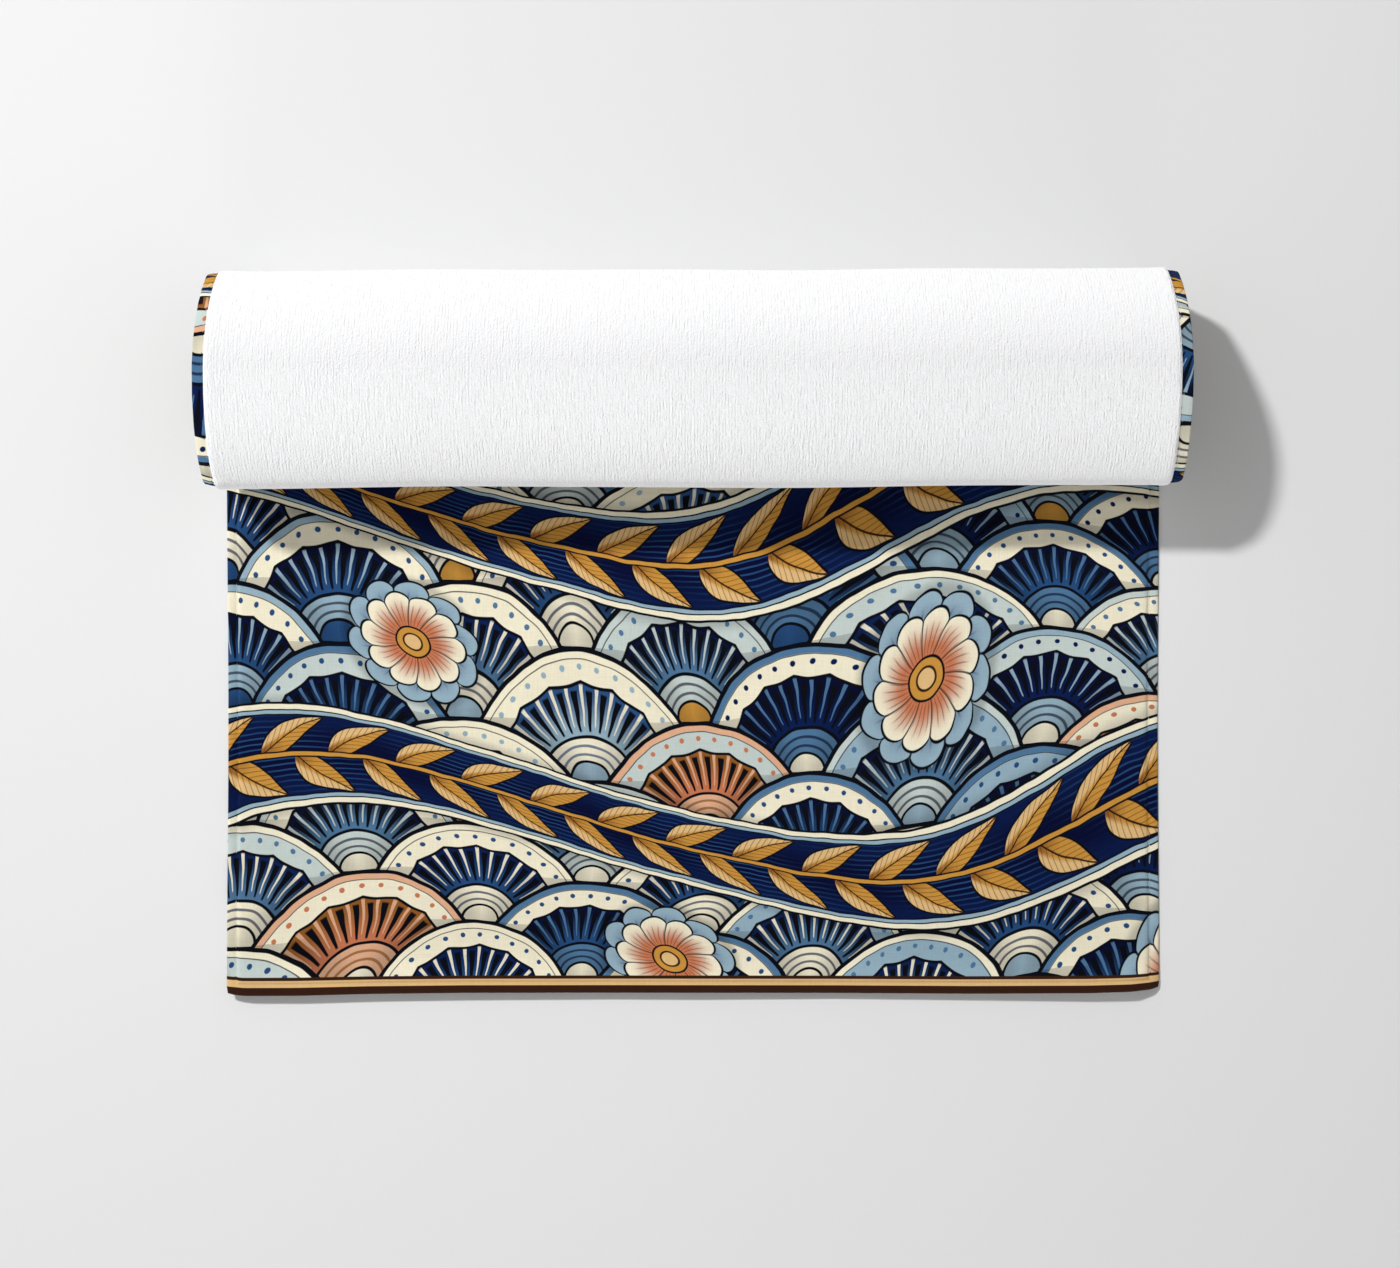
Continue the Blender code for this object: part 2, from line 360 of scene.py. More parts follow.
def seamLine(printedSide):
    # once round the towel, inside its hems: places, the way out of the cloth, and places in the print's chart
    inset, step = hemSeam["fromEdge"], hemSeam["lineStep"]
    half, length = towelSize["width"] / 2 - inset, towelSize["length"] - inset
    sideways, lengthways = spread(-half, half, step), spread(inset, length, step)
    across = np.concatenate([sideways, np.full(len(lengthways) - 1, half), sideways[-2::-1],
                             np.full(len(lengthways) - 2, -half)])
    along = np.concatenate([np.full(len(sideways), inset), lengthways[1:], np.full(len(sideways) - 1, length),
                            lengthways[-2:0:-1]])
    faces = faceOffsets(across, along)
    offset = faces[0] - hemSeam["sunk"] if printedSide else faces[1] + hemSeam["sunk"]
    places, _ = placeOnCloth(across, along, offset)

    def run(byAcross, byAlong):
        ahead, _ = placeOnCloth(across + byAcross, along + byAlong, offset)
        behind, _ = placeOnCloth(across - byAcross, along - byAlong, offset)
        return ahead - behind

    outwards = np.cross(run(hemSeam["nudge"], 0), run(0, hemSeam["nudge"])) * (1 if printedSide else -1)
    outwards /= np.linalg.norm(outwards, axis=1, keepdims=True)

    chart = np.stack([across + towelSize["width"] / 2, along, np.zeros_like(along)], axis=1)
    if not printedSide:
        for way, size in ((0, towelSize["width"]), (1, towelSize["length"])):
            turned = np.where(chart[:, way] < size / 2, -chart[:, way], 2 * size - chart[:, way])
            hemmed = np.minimum(chart[:, way], size - chart[:, way]) < towelSize["hemStrip"]
            chart[:, way] = np.where(hemmed, turned, chart[:, way])
    return places, outwards, chart


def makeSeamTree():
    # a stitch at every pitch of a line, lying along it and standing out of the cloth
    tree = bpy.data.node_groups.new("hemSeam", "GeometryNodeTree")
    tree.interface.new_socket("Line", in_out="INPUT", socket_type="NodeSocketGeometry")
    for name in ("Pitch", "Stitch Length", "Stitch Rise", "Thread"):
        tree.interface.new_socket(name, in_out="INPUT", socket_type="NodeSocketFloat")
    tree.interface.new_socket("Seed", in_out="INPUT", socket_type="NodeSocketInt")
    tree.interface.new_socket("Ink", in_out="INPUT", socket_type="NodeSocketMaterial")
    tree.interface.new_socket("Seam", in_out="OUTPUT", socket_type="NodeSocketGeometry")
    given = tree.nodes.new("NodeGroupInput").outputs

    def add(kind, settings=None, inputs=None):
        made = tree.nodes.new(kind)
        for name, value in (settings or {}).items():
            setattr(made, name, value)
        for key, value in (inputs or {}).items():
            if isinstance(value, bpy.types.NodeSocket):
                tree.links.new(value, made.inputs[key])
            else:
                made.inputs[key].default_value = value
        return made.outputs

    def stored(name):
        return add("GeometryNodeInputNamedAttribute", {"data_type": "FLOAT_VECTOR"}, {"Name": name})[0]

    def partWay(share):
        # a place along one stitch, from its middle
        length = add("ShaderNodeMath", {"operation": "MULTIPLY"}, {0: given["Stitch Length"], 1: share})[0]
        return add("ShaderNodeCombineXYZ", None, {0: length})[0]

    top = add("ShaderNodeCombineXYZ", None, {2: given["Stitch Rise"]})[0]
    arch = add("GeometryNodeCurveQuadraticBezier", None,
               {"Resolution": 4, "Start": partWay(-0.5), "Middle": top, "End": partWay(0.5)})[0]
    thread = add("GeometryNodeCurvePrimitiveCircle", None, {"Resolution": 5, "Radius": given["Thread"]})[0]
    stitch = add("GeometryNodeCurveToMesh", None,
                 {"Curve": arch, "Profile Curve": thread, "Fill Caps": True})[0]
    stitch = add("GeometryNodeSetShadeSmooth", None, {"Geometry": stitch})[0]

    line = add("GeometryNodeMeshToCurve", None, {"Mesh": given["Line"]})[0]
    line = add("GeometryNodeResampleCurve", {"mode": "LENGTH"}, {"Curve": line, "Length": given["Pitch"]})[0]
    lying = add("FunctionNodeAlignRotationToVector", {"axis": "X"},
                {"Vector": add("GeometryNodeInputTangent")[0]})[0]
    standing = add("FunctionNodeAlignRotationToVector", {"axis": "Z", "pivot_axis": "X"},
                   {"Rotation": lying, "Vector": stored("outwards")})[0]
    uneven = add("FunctionNodeRandomValue", {"data_type": "FLOAT_VECTOR"},
                 {0: hemSeam["smallest"], 1: hemSeam["largest"], "Seed": given["Seed"]})[0]
    seam = add("GeometryNodeInstanceOnPoints", None,
               {"Points": line, "Instance": stitch, "Rotation": standing, "Scale": uneven})[0]
    seam = add("GeometryNodeRealizeInstances", None, {"Geometry": seam})[0]
    seam = add("GeometryNodeStoreNamedAttribute", {"data_type": "FLOAT2", "domain": "CORNER"},
               {"Geometry": seam, "Name": "clothChart", "Value": stored("chart")})[0]
    seam = add("GeometryNodeSetMaterial", None, {"Geometry": seam, "Material": given["Ink"]})[0]
    tree.links.new(seam, tree.nodes.new("NodeGroupOutput").inputs[0])
    return tree


def setInputs(modifier, values):
    for item in modifier.node_group.interface.items_tree:
        if item.in_out == "INPUT" and item.name in values:
            modifier[item.identifier] = values[item.name]


def makeSeams(ink):
    # one line on the printed face and one on the back, both made into stitches by the same tree
    lines = [seamLine(True), seamLine(False)]
    count = len(lines[0][0])
    mesh = bpy.data.meshes.new("hem_seam_line")
    edges = [(start + i, start + (i + 1) % count) for start in (0, count) for i in range(count)]
    mesh.from_pydata([tuple(p) for line in lines for p in line[0]], edges, [])
    for name, column in (("outwards", 1), ("chart", 2)):
        layer = mesh.attributes.new(name, "FLOAT_VECTOR", "POINT")
        layer.data.foreach_set("vector", np.concatenate([line[column] for line in lines]).ravel())
    seams = bpy.data.objects.new("hem_stitches", mesh)
    bpy.context.scene.collection.objects.link(seams)
    stitching = seams.modifiers.new("stitching", "NODES")
    stitching.node_group = makeSeamTree()
    setInputs(stitching, {"Pitch": hemSeam["pitch"], "Stitch Length": hemSeam["stitchLength"],
                          "Stitch Rise": hemSeam["stitchRise"], "Thread": hemSeam["thread"],
                          "Seed": hemSeam["seed"], "Ink": ink})
    sewn = seams.evaluated_get(bpy.context.evaluated_depsgraph_get())
    made = bpy.data.meshes.new_from_object(sewn)
    seams.modifiers.remove(stitching)
    seams.data = made
    made.name = "hem_stitches"
    for point in made.vertices:
        point.co.z = max(point.co.z, clothForm["floorGap"])  # the floor presses them into the pile
    return seams


# Materials. A Shade is one socket of a material's tree: sums and products of Shades add the Math nodes.
class Shade:
    def __init__(self, tree, socket):
        self.tree = tree
        self.socket = socket

    def node(self, kind, settings=None, inputs=None, output=0):
        made = self.tree.nodes.new(kind)
        for name, value in (settings or {}).items():
            if name == "stops":
                setStops(made.color_ramp, value)
            else:
                setattr(made, name, value)
        for key, value in (inputs or {}).items():
            if isinstance(value, Shade):
                self.tree.links.new(value.socket, made.inputs[key])
            else:
                made.inputs[key].default_value = value
        return Shade(self.tree, made.outputs[output])

    def maths(self, operation, *values):
        return self.node("ShaderNodeMath", {"operation": operation}, dict(enumerate(values)))

    def __add__(self, other):
        return self.maths("ADD", self, other)

    __radd__ = __add__

    def __sub__(self, other):
        return self.maths("SUBTRACT", self, other)

    def __rsub__(self, other):
        return self.maths("SUBTRACT", other, self)

    def __mul__(self, other):
        return self.maths("MULTIPLY", self, other)

    __rmul__ = __mul__

    def __truediv__(self, other):
        return self.maths("DIVIDE", self, other)

    def __mod__(self, other):
        return self.maths("FLOORED_MODULO", self, other)

    def __pow__(self, other):
        return self.maths("POWER", self, other)

    def __abs__(self):
        return self.maths("ABSOLUTE", self)

    def sine(self):
        return self.maths("SINE", self)

    def cosine(self):
        return self.maths("COSINE", self)

    def floor(self):
        return self.maths("FLOOR", self)

    def root(self):
        return self.maths("SQRT", self)

    def least(self, other):
        return self.maths("MINIMUM", self, other)

    def most(self, other):
        return self.maths("MAXIMUM", self, other)

    def above(self, edge, soft):
        # 0 below the edge and 1 above it, with a soft change between
        return self.node("ShaderNodeMapRange", {"interpolation_type": "SMOOTHSTEP"},
                         {"Value": self, "From Min": edge - soft / 2, "From Max": edge + soft / 2})

    def below(self, edge, soft):
        return 1 - self.above(edge, soft)

    def between(self, low, high, soft):
        return self.above(low, soft) * self.below(high, soft)

    def chosen(self, first, second):
        # first where this is 0, second where it is 1
        return first + (second - first) * self


def setStops(ramp, stops):
    while len(ramp.elements) > 1:
        ramp.elements.remove(ramp.elements[-1])
    for number, (place, colour) in enumerate(stops):
        element = ramp.elements[0] if number == 0 else ramp.elements.new(place)
        element.position = place
        element.color = colour


def fromScreen(red, green, blue):
    # a colour as seen on a screen, 0 to 255, in the renderer's own measure
    def one(value):
        value = value / 255
        return value / 12.92 if value <= 0.04045 else ((value + 0.055) / 1.055) ** 2.4
    return (one(red), one(green), one(blue), 1.0)


def overlay(under, over, mask):
    # the colour over, laid on the colour under where mask is 1
    start = next(value for value in (mask, under, over) if isinstance(value, Shade))
    return start.node("ShaderNodeMix", {"data_type": "RGBA"}, {0: mask, 6: under, 7: over}, 2)


def darken(colour, factor):
    # a colour times a number
    return colour.node("ShaderNodeVectorMath", {"operation": "SCALE"}, {0: colour, "Scale": factor})


def noise(shade, place, scale, detail=2.0, output=0):
    return shade.node("ShaderNodeTexNoise", {"noise_dimensions": "3D"},
                      {"Vector": place, "Scale": scale, "Detail": detail}, output)


def vector(x, y, z=0.0):
    return x.node("ShaderNodeCombineXYZ", None, {0: x, 1: y, 2: z})


def parts(shade):
    split = shade.node("ShaderNodeSeparateXYZ", None, {0: shade})
    outputs = split.socket.node.outputs
    return tuple(Shade(shade.tree, outputs[n]) for n in range(3))


def newMaterial(name):
    material = bpy.data.materials.new(name)
    material.use_nodes = True
    shader = material.node_tree.nodes["Principled BSDF"]
    return material, material.node_tree, shader


def setSurface(shader, surface):
    for name, value in surface.items():
        shader.inputs[name].default_value = value


def chartOf(tree):
    node = tree.nodes.new("ShaderNodeUVMap")
    node.uv_map = "clothChart"
    return Shade(tree, node.outputs[0])


inks = {
    "outline": fromScreen(6, 9, 20),
    "navy": fromScreen(1, 7, 50),
    "deepSlate": fromScreen(5, 30, 82),
    "slate": fromScreen(40, 80, 130),
    "greyBlue": fromScreen(84, 124, 160),
    "paleBlue": fromScreen(156, 182, 196),
    "mist": fromScreen(202, 212, 208),
    "cream": fromScreen(239, 233, 211),
    "tan": fromScreen(226, 192, 136),
    "gold": fromScreen(206, 152, 66),
    "ochre": fromScreen(148, 92, 36),
    "brown": fromScreen(56, 30, 18),
    "coral": fromScreen(204, 126, 88),
    "peach": fromScreen(226, 180, 146),
}

printDesign = {
    "fanRadius": 0.100,
    "warp": 0.032,  # how far the rows of fans wander
    "warpScale": 2.3,
    "handDrawn": 0.0020,  # small unsteadiness of the lines
    "handDrawnScale": 36.0,
    "ribbonEvery": 0.270,  # ribbons cross the towel in long S curves, with gold leaves on them
    "ribbonStart": 0.150,
    "ribbonSway": 0.055,
    "ribbonSwayLength": 0.86,
    "ribbonSlant": 5.2,
    "ribbonWander": 0.5,
    "ribbonHalfWidth": 0.044,
    "engravedPitch": 0.0046,
    "leafEvery": 0.058,
    "leafLength": 0.061,
    "leafWidth": 0.0105,
    "leafLean": 0.66,  # radians from the ribbon's line
    "leafBelly": 0.72,
    "veinPitch": 0.0070,
    "rosetteEvery": (0.440, 0.270),
    "rosetteShift": 0.060,
    "rosetteSway": 0.8,
    "rosetteRadius": 0.058,
    "rosetteTwist": 0.35,
    "rosettePetals": 10,
    "borderDark": 0.0066,
    "borderTan": 0.0054,
    "borderLine": 0.0026,
    "borderSoft": 0.0005,
}

# A fan from its middle outwards, in shares of its radius.
fanDesign = {
    "ribs": 17,
    "core": 0.150,
    "ringsFrom": 0.172,
    "fineRings": (0.205, 0.335),
    "ringWaves": 92,
    "ringsTo": 0.350,
    "bandFrom": 0.376,
    "washFrom": 0.36,  # the band is washed from light to deep, over this much
    "washOver": 0.42,
    "darkRibs": (0.40, 0.70),
    "lightRibs": (0.44, 0.74),
    "bandTo": 0.748,
    "rimFrom": 0.772,
    "scallops": 0.028,
    "dotsAt": 0.856,
    "dotRadius": 0.022,
    "hairline": (0.908, 0.918),
    "rimTo": 0.965,
    "soft": 0.006,
    "shadow": 0.34,  # how much the fans in front darken those behind
}

# The piping along a ribbon's edges: each line's ink, and how far in it starts.
ribbonPiping = (("outline", 0.0105), ("paleBlue", 0.0093), ("outline", 0.0065), ("cream", 0.0054),
                ("outline", 0.0012))

# The middle of a rosette: rings from the outermost, in shares of its radius.
rosetteRings = ((0.265, "outline"), (0.235, "gold"), (0.150, "brown"), (0.120, "tan"))


def picked(value, names):
    # one of several inks, chosen by a random number
    made = value.tree.nodes.new("ShaderNodeValToRGB")
    made.color_ramp.interpolation = "CONSTANT"
    setStops(made.color_ramp, [(number / len(names), inks[name]) for number, name in enumerate(names)])
    value.tree.links.new(value.socket, made.inputs[0])
    return Shade(value.tree, made.outputs[0])


def fanPlaces(x, y):
    # fans in rows, each half hidden by the two in front: radius share, angle and three random numbers
    radius = printDesign["fanRadius"]
    rowStep = radius / 2
    row = (y / rowStep).floor()
    found = []
    for back in (1, 0):
        thisRow = row - back
        shift = (thisRow % 2) * radius
        cell = ((x + shift) / (2 * radius)).floor()
        sideways = x + shift - (cell + 0.5) * (2 * radius)
        upwards = y - thisRow * rowStep
        reach = (sideways * sideways + upwards * upwards).root() / radius
        found.append((reach, sideways, upwards, cell, thisRow))
    inFront = found[0][0].maths("LESS_THAN", found[0][0], 1.0)
    reach, sideways, upwards, cell, thisRow = [inFront.chosen(behind, front) for front, behind in zip(*found)]
    angle = sideways.maths("ARCTAN2", sideways, upwards)
    shadow = (1 - inFront) * found[0][0].below(1.13, 0.26)
    place = vector(cell, thisRow)
    chance = place.node("ShaderNodeTexWhiteNoise", {"noise_dimensions": "2D"}, {"Vector": place}, 1)
    return reach.least(1.0), angle, parts(chance), shadow


def fans(x, y):
    reach, angle, chance, shadow = fanPlaces(x, y)
    deep = picked(chance[0], ("navy", "deepSlate", "navy", "slate", "navy", "deepSlate", "navy", "ochre",
                              "navy"))
    mid = picked(chance[0], ("slate", "greyBlue", "deepSlate", "paleBlue", "greyBlue", "slate", "deepSlate",
                             "coral", "slate"))
    light = picked(chance[0], ("paleBlue", "cream", "greyBlue", "cream", "mist", "cream", "paleBlue", "peach",
                               "greyBlue"))
    rimInk = picked(chance[1], ("cream", "mist", "cream", "paleBlue", "cream", "cream", "cream"))
    coreInk = picked(chance[2], ("gold", "cream", "paleBlue", "slate", "cream", "cream"))
    soft = fanDesign["soft"]

    # the wide band, with ribs and lights that taper outwards
    wash = ((reach - fanDesign["washFrom"]) / fanDesign["washOver"]).least(1.0).most(0.0)
    band = overlay(mid, deep, wash.above(0.45, 0.9))
    rib = abs((angle * fanDesign["ribs"]).sine())
    darkRibs = (rib + wash * 0.22).above(0.95, 0.09) * reach.between(*fanDesign["darkRibs"], 0.02)
    lightRibs = (rib - wash * 0.30).below(0.10, 0.10) * reach.between(*fanDesign["lightRibs"], 0.02) * 0.9
    band = overlay(band, inks["outline"], darkRibs)
    band = overlay(band, light, lightRibs)

    # inner band of fine rings round a plain core
    rings = (reach * fanDesign["ringWaves"]).sine().above(0.55, 0.5)
    rings = rings * reach.between(*fanDesign["fineRings"], 0.01)
    colour = overlay(coreInk, inks["outline"], reach.above(fanDesign["core"], soft))
    colour = overlay(colour, light, reach.above(fanDesign["ringsFrom"], soft))
    colour = overlay(colour, deep, rings * 0.8)
    colour = overlay(colour, inks["outline"], reach.above(fanDesign["ringsTo"], soft))
    colour = overlay(colour, band, reach.above(fanDesign["bandFrom"], soft))

    # scalloped rim with a row of dots
    scallop = reach + fanDesign["scallops"] * abs((angle * (fanDesign["ribs"] / 2)).sine())
    colour = overlay(colour, inks["outline"], scallop.above(fanDesign["bandTo"], soft))
    colour = overlay(colour, rimInk, scallop.above(fanDesign["rimFrom"], soft))
    around = angle * (fanDesign["ribs"] / math.pi) + 0.5
    around = (around - around.floor() - 0.5) * (math.pi / fanDesign["ribs"])
    offRow = reach - fanDesign["dotsAt"]
    dot = (around * around * 0.75 + offRow * offRow).root()
    colour = overlay(colour, mid, dot.below(fanDesign["dotRadius"], soft))
    colour = overlay(colour, inks["outline"], reach.between(*fanDesign["hairline"], soft) * 0.85)
    colour = overlay(colour, light, reach.above(fanDesign["hairline"][1], soft))
    colour = overlay(colour, inks["outline"], reach.above(fanDesign["rimTo"], soft))
    return darken(colour, 1 - fanDesign["shadow"] * shadow)


def leafInside(along, across, length, width):
    # how far inside a leaf's outline a point is, in metres, and its share of the way to the tip
    share = (along / length).least(1.0).most(0.0)
    half = width * ((share ** printDesign["leafBelly"]) * math.pi).sine()
    return half - abs(across), share


def leafInk(along, across, share):
    # gold, lighter on one half and towards the tip, with brown veins
    ink = overlay(inks["ochre"], inks["gold"], share.above(0.20, 0.40))
    ink = overlay(ink, inks["tan"], (share * 0.6 + across * 95).above(0.50, 0.35))
    veins = ((along - abs(across) * 1.5) * (2 * math.pi / printDesign["veinPitch"])).sine().above(0.80, 0.25)
    ink = overlay(ink, inks["brown"], veins * 0.5)
    return overlay(ink, inks["brown"], abs(across).below(0.0006, 0.0006))


def ribbonSway(u, v):
    # how far the ribbons stray from their level here
    wave = u * (2 * math.pi / printDesign["ribbonSwayLength"]) + v * printDesign["ribbonSlant"]
    return wave.sine() * printDesign["ribbonSway"]


def ribbons(colour, u, v):
    sway = ribbonSway(u, v)
    level = (v - printDesign["ribbonStart"] - sway) / printDesign["ribbonEvery"]
    offLine = (level - (level + 0.5).floor()) * printDesign["ribbonEvery"]
    offset = abs(offLine)
    half = printDesign["ribbonHalfWidth"]
    soft = 0.0005

    # deep ground with fine engraved lines that swell and fade
    swell = (u * 33 + offLine * 60).sine() * 0.22
    engraved = (offLine * (2 * math.pi / printDesign["engravedPitch"])).sine().above(0.62, 0.5)
    ground = overlay(inks["navy"], inks["slate"], engraved * (0.45 + swell * 2.0))
    ground = overlay(ground, inks["deepSlate"], offset.above(half * 0.45, half * 0.5) * 0.6)

    # leaves on both sides of a stem, half a step apart
    step = printDesign["leafEvery"]
    side = offLine.maths("GREATER_THAN", offLine, 0.0)
    along = u + side * (step / 2)
    along = (along / step - (along / step).floor()) * step
    lean = printDesign["leafLean"]
    outwards = along * math.cos(lean) + offset * math.sin(lean)
    across = offset * math.cos(lean) - along * math.sin(lean) + outwards * outwards * 3.2 - outwards * 0.10
    inside, share = leafInside(outwards, across, printDesign["leafLength"], printDesign["leafWidth"])
    started = outwards.above(0.001, soft)
    leafEdge = inside.above(-0.0016, soft) * started * share.below(0.998, 0.001)
    ground = overlay(ground, inks["outline"], leafEdge)
    ground = overlay(ground, leafInk(outwards, across, share), inside.above(0.0, soft) * started)
    ground = overlay(ground, inks["outline"], offset.below(0.0030, soft))
    ground = overlay(ground, inks["gold"], offset.below(0.0017, soft))

    for name, start in ribbonPiping:
        ground = overlay(ground, inks[name], offset.above(half - start, soft))
    shade = offset.below(half + 0.006, 0.012) * 0.30
    colour = darken(colour, 1 - shade)
    return overlay(colour, ground, offset.below(half + 0.0008, soft))


def rosettes(colour, u, v):
    stepU, stepV = printDesign["rosetteEvery"]
    row = ((v - printDesign["ribbonStart"]) / stepV).floor()
    shifted = u + (row % 2) * (stepU / 2) + printDesign["rosetteShift"]
    column = (shifted / stepU).floor()
    x = shifted - (column + 0.5) * stepU
    y = v - printDesign["ribbonStart"] - (row + 0.5) * stepV
    y = y - ribbonSway(u, v) * printDesign["rosetteSway"]
    reach = (x * x + y * y).root() / printDesign["rosetteRadius"]
    angle = x.maths("ARCTAN2", y, x) + reach * printDesign["rosetteTwist"]

    count = printDesign["rosettePetals"]
    soft = 0.014
    back = abs((angle * (count / 2)).cosine())
    front = abs((angle * (count / 2)).sine())
    backEdge = back ** 0.55 * 0.18 + 0.80
    frontEdge = front ** 0.55 * 0.15 + 0.62
    colour = darken(colour, 1 - 0.35 * reach.below(1.06, 0.16))
    for edge, low, high, line, lines in ((backEdge, "slate", "paleBlue", "navy", back),
                                         (frontEdge, "coral", "cream", "brown", front)):
        inside = edge - reach
        ink = overlay(inks[low], inks[high], (reach / edge).above(0.70, 0.5))
        ink = overlay(ink, inks[line], lines.below(0.10, 0.10) * 0.9)
        hair = (angle * (count * 4)).sine().above(0.75, 0.3) * (reach / edge).between(0.35, 0.78, 0.2)
        ink = overlay(ink, inks["outline"], hair * 0.5)
        colour = overlay(colour, inks["outline"], inside.above(-0.035, soft))
        colour = overlay(colour, ink, inside.above(0.0, soft))
    for edge, name in rosetteRings:
        colour = overlay(colour, inks[name], reach.below(edge, soft))
    return colour


def printedInk(place):
    # the printed face: fans in rows, rosettes and leafy ribbons over them, plain borders at the two end hems
    u, v, _ = parts(place)
    wander = parts(noise(u, place, printDesign["warpScale"], 1.0, 1))
    unsteady = parts(noise(u, place, printDesign["handDrawnScale"], 1.0, 1))
    wanderU, wanderV = [(wander[n] - 0.5) * (4 * printDesign["warp"]) for n in (0, 1)]
    shakeU, shakeV = [(unsteady[n] - 0.5) * (2 * printDesign["handDrawn"]) for n in (0, 1)]
    u, v = u + shakeU, v + shakeV
    colour = fans(u + wanderU, v + wanderV)
    colour = ribbons(colour, u, v + wanderV * printDesign["ribbonWander"])
    colour = rosettes(colour, u, v + wanderV * printDesign["ribbonWander"])

    fromEnd = (v - shakeV).least(towelSize["length"] - v + shakeV)
    dark, tan, line = printDesign["borderDark"], printDesign["borderTan"], printDesign["borderLine"]
    soft = printDesign["borderSoft"]
    colour = overlay(colour, inks["brown"], fromEnd.below(dark + tan + line, soft))
    colour = overlay(colour, inks["tan"], fromEnd.between(dark, dark + tan, soft))
    return colour


# What each of the cloth's structures does to its tone and to its height.
velourFinish = {
    "weavePitch": 0.00115,
    "threadStray": 0.9,
    "weave": {"tone": 0.035, "height": 0.5},
    "slubs": {"tone": 0.16, "height": 1.1},
    "patches": {"tone": 0.10, "height": 1.2},
    "relief": 0.00022,
    "surface": {"Roughness": 0.9, "Sheen Weight": 0.02, "Sheen Roughness": 0.6, "Diffuse Roughness": 0.8,
                "Specular IOR Level": 0.05},
}


def makePrinted():
    material, tree, shader = newMaterial("printed_velour")
    place = chartOf(tree)
    u, v, _ = parts(place)
    colour = printedInk(place)
    pitch, stray = velourFinish["weavePitch"], velourFinish["threadStray"]
    crooked = parts(noise(u, place, 240.0, 1.0, 1))
    warpThreads = ((u + (crooked[0] - 0.5) * pitch * stray) * (2 * math.pi / pitch)).sine()
    weftThreads = ((v + (crooked[1] - 0.5) * pitch * stray) * (2 * math.pi / pitch)).sine()
    weave = warpThreads * weftThreads
    slubs = noise(u, vector(u * 900, v * 60), 1.0, 2.0) + noise(u, vector(u * 60, v * 900), 1.0, 2.0) - 1
    patches = noise(u, place, 22.0, 3.0) - 0.5
    threads, lumps, blots = velourFinish["weave"], velourFinish["slubs"], velourFinish["patches"]
    tone = 1 + weave * threads["tone"] + slubs * lumps["tone"] + patches * blots["tone"]
    tree.links.new(darken(colour, tone).socket, shader.inputs["Base Color"])
    setSurface(shader, velourFinish["surface"])
    height = weave * threads["height"] + slubs * lumps["height"] + patches * blots["height"]
    bump = height.node("ShaderNodeBump", None,
                       {"Height": height, "Distance": velourFinish["relief"], "Strength": 1.0})
    tree.links.new(bump.socket, shader.inputs["Normal"])
    return material


terryFinish = {
    "white": fromScreen(251, 251, 252),
    "brightness": 0.917,
    "groovePaintedShade": 0.03,  # painted shade: the grooves between the loops are painted this much darker than the tips
    "ribPitch": 0.0025,
    "ribSway": 0.0034,
    "ribs": 0.14,
    "streaks": 0.75,
    "loops": 0.80,
    "clumps": 0.35,
    "relief": 0.0021,
    "surface": {"Roughness": 0.95, "Diffuse Roughness": 1.0, "Sheen Weight": 0.15, "Sheen Roughness": 0.35,
                "Specular IOR Level": 0.1},
}


def makeTerry():
    material, tree, shader = newMaterial("white_terry")
    place = chartOf(tree)
    u, v, _ = parts(place)
    sway = parts(noise(u, vector(u * 230, v * 70), 1.0, 2.0, 1))
    swayed = u + (sway[0] - 0.5) * terryFinish["ribSway"]
    ribs = (swayed * (2 * math.pi / terryFinish["ribPitch"])).sine() * 0.5 + 0.5
    streaks = noise(u, vector(u * 460, v * 95), 1.0, 2.0)
    loops = noise(u, vector(u * 760, v * 600), 1.0, 2.0)
    clumps = noise(u, vector(u * 130, v * 75), 1.0, 3.0)
    height = ribs * terryFinish["ribs"] * (0.4 + clumps) + streaks * terryFinish["streaks"]
    height = height + loops * terryFinish["loops"] + clumps * terryFinish["clumps"]
    # painted shade: the terry's tone follows the pile's height, darker in its grooves
    tone = terryFinish["brightness"] + (height - 1.0) * terryFinish["groovePaintedShade"]
    white = terryFinish["white"]
    colour = vector(tone * white[0], tone * white[1], tone * white[2])
    tree.links.new(colour.socket, shader.inputs["Base Color"])
    setSurface(shader, terryFinish["surface"])
    bump = height.node("ShaderNodeBump", None,
                       {"Height": height, "Distance": terryFinish["relief"], "Strength": 0.8})
    tree.links.new(bump.socket, shader.inputs["Normal"])
    return material


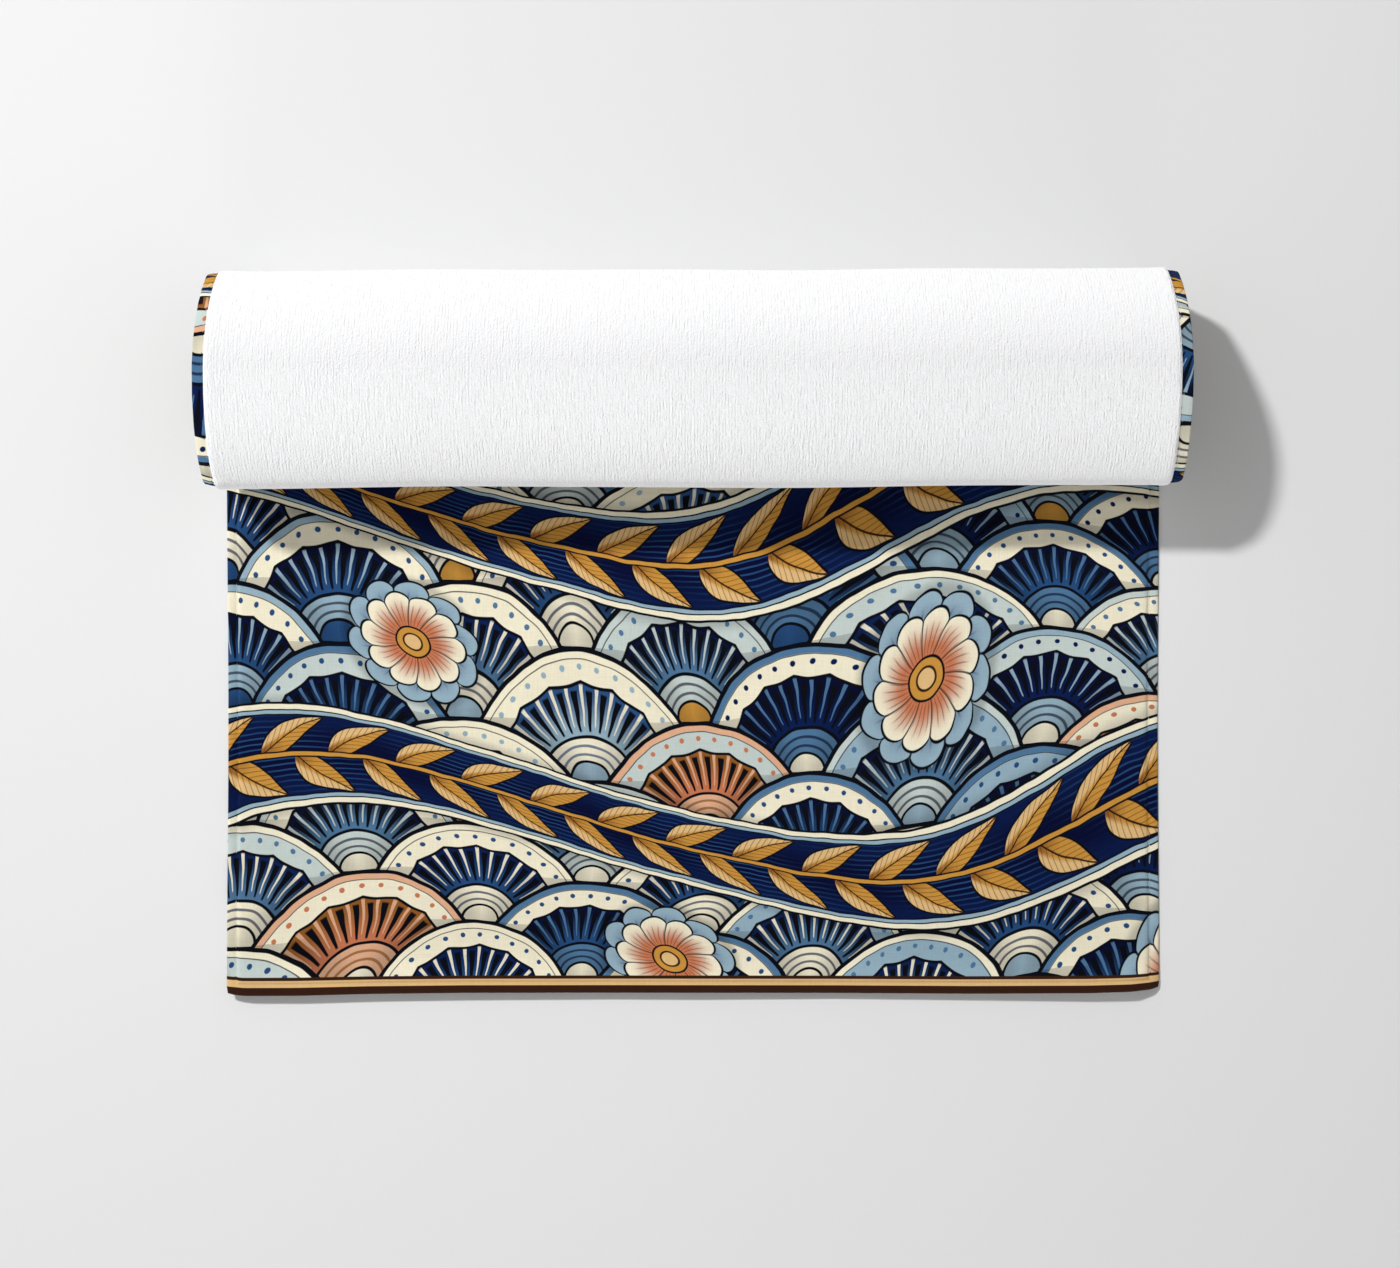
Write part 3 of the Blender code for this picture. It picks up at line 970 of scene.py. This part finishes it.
studio = {
    "cameraHeight": 1.960,
    "cameraX": 0.0060,
    "cameraY": 0.0032,
    "groundHalfWidth": 0.6009,  # what half the picture's width shows of the floor
    "keyFrom": (-1.60, 1.591, 2.80),
    "keyAim": (2.4, -3.6, 0.0),  # well past the towel, which evens the light out over the floor
    "keySize": 0.30,
    "keyPower": 115.0,
    "air": 0.370,
    "fillFrom": (0.0, -5.0, 0.50),
    "fillAim": (0.0, 0.1, 0.1),
    "fillSize": (3.4, 0.6),
    "fillSpread": math.radians(40),  # narrow enough to leave the floor in front of the lamp alone
    "fillPower": 12.0,
    "paper": {"Base Color": fromScreen(227, 227, 227), "Roughness": 1.0, "Specular IOR Level": 0.0},
    "floorSize": 90.0,
    "sensorWidth": 36,
}


def addLamp(name, place, aim, power):
    light = bpy.data.lights.new(name, "AREA")
    light.energy = power
    lamp = bpy.data.objects.new(name, light)
    lamp.location = place
    lamp.rotation_euler = (Vector(aim) - Vector(place)).to_track_quat("-Z", "Y").to_euler()
    lamp.visible_camera = False
    bpy.context.scene.collection.objects.link(lamp)
    return light


def makePaper():
    material, _, shader = newMaterial("studio_paper")
    setSurface(shader, studio["paper"])
    return material


def makeStudio():
    scene = bpy.context.scene
    scene.view_settings.view_transform = "Standard"
    bpy.ops.mesh.primitive_plane_add(size=studio["floorSize"])
    floor = bpy.context.active_object
    floor.name = "studio_floor"
    floor.data.materials.append(makePaper())

    world = bpy.data.worlds.new("studio_air")
    world.use_nodes = True
    air = world.node_tree.nodes["Background"]
    setSurface(air, {"Color": (1, 1, 1, 1), "Strength": studio["air"]})
    scene.world = world

    key = addLamp("key", studio["keyFrom"], studio["keyAim"], studio["keyPower"])
    key.shape = "DISK"
    key.size = studio["keySize"]
    fill = addLamp("fill", studio["fillFrom"], studio["fillAim"], studio["fillPower"])
    fill.shape = "RECTANGLE"
    fill.size, fill.size_y = studio["fillSize"]
    fill.spread = studio["fillSpread"]

    camera = bpy.data.cameras.new("camera")
    camera.sensor_width = studio["sensorWidth"]
    camera.lens = camera.sensor_width / 2 * studio["cameraHeight"] / studio["groundHalfWidth"]
    eye = bpy.data.objects.new("camera", camera)
    eye.location = (studio["cameraX"], studio["cameraY"], studio["cameraHeight"])
    scene.collection.objects.link(eye)
    scene.camera = eye


print("studio: floor, light and camera")
makeStudio()

print("cloth: one printed sheet, flat in front and rolled up behind")
printedVelour = makePrinted()
whiteTerry = makeTerry()
cloth = makeCloth(printedVelour, whiteTerry)
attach(cloth, "root")
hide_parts("towel")

print("hems: a line of stitches on both faces")
stitches = makeSeams(printedVelour)
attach(stitches, "root")

print("towel ready")
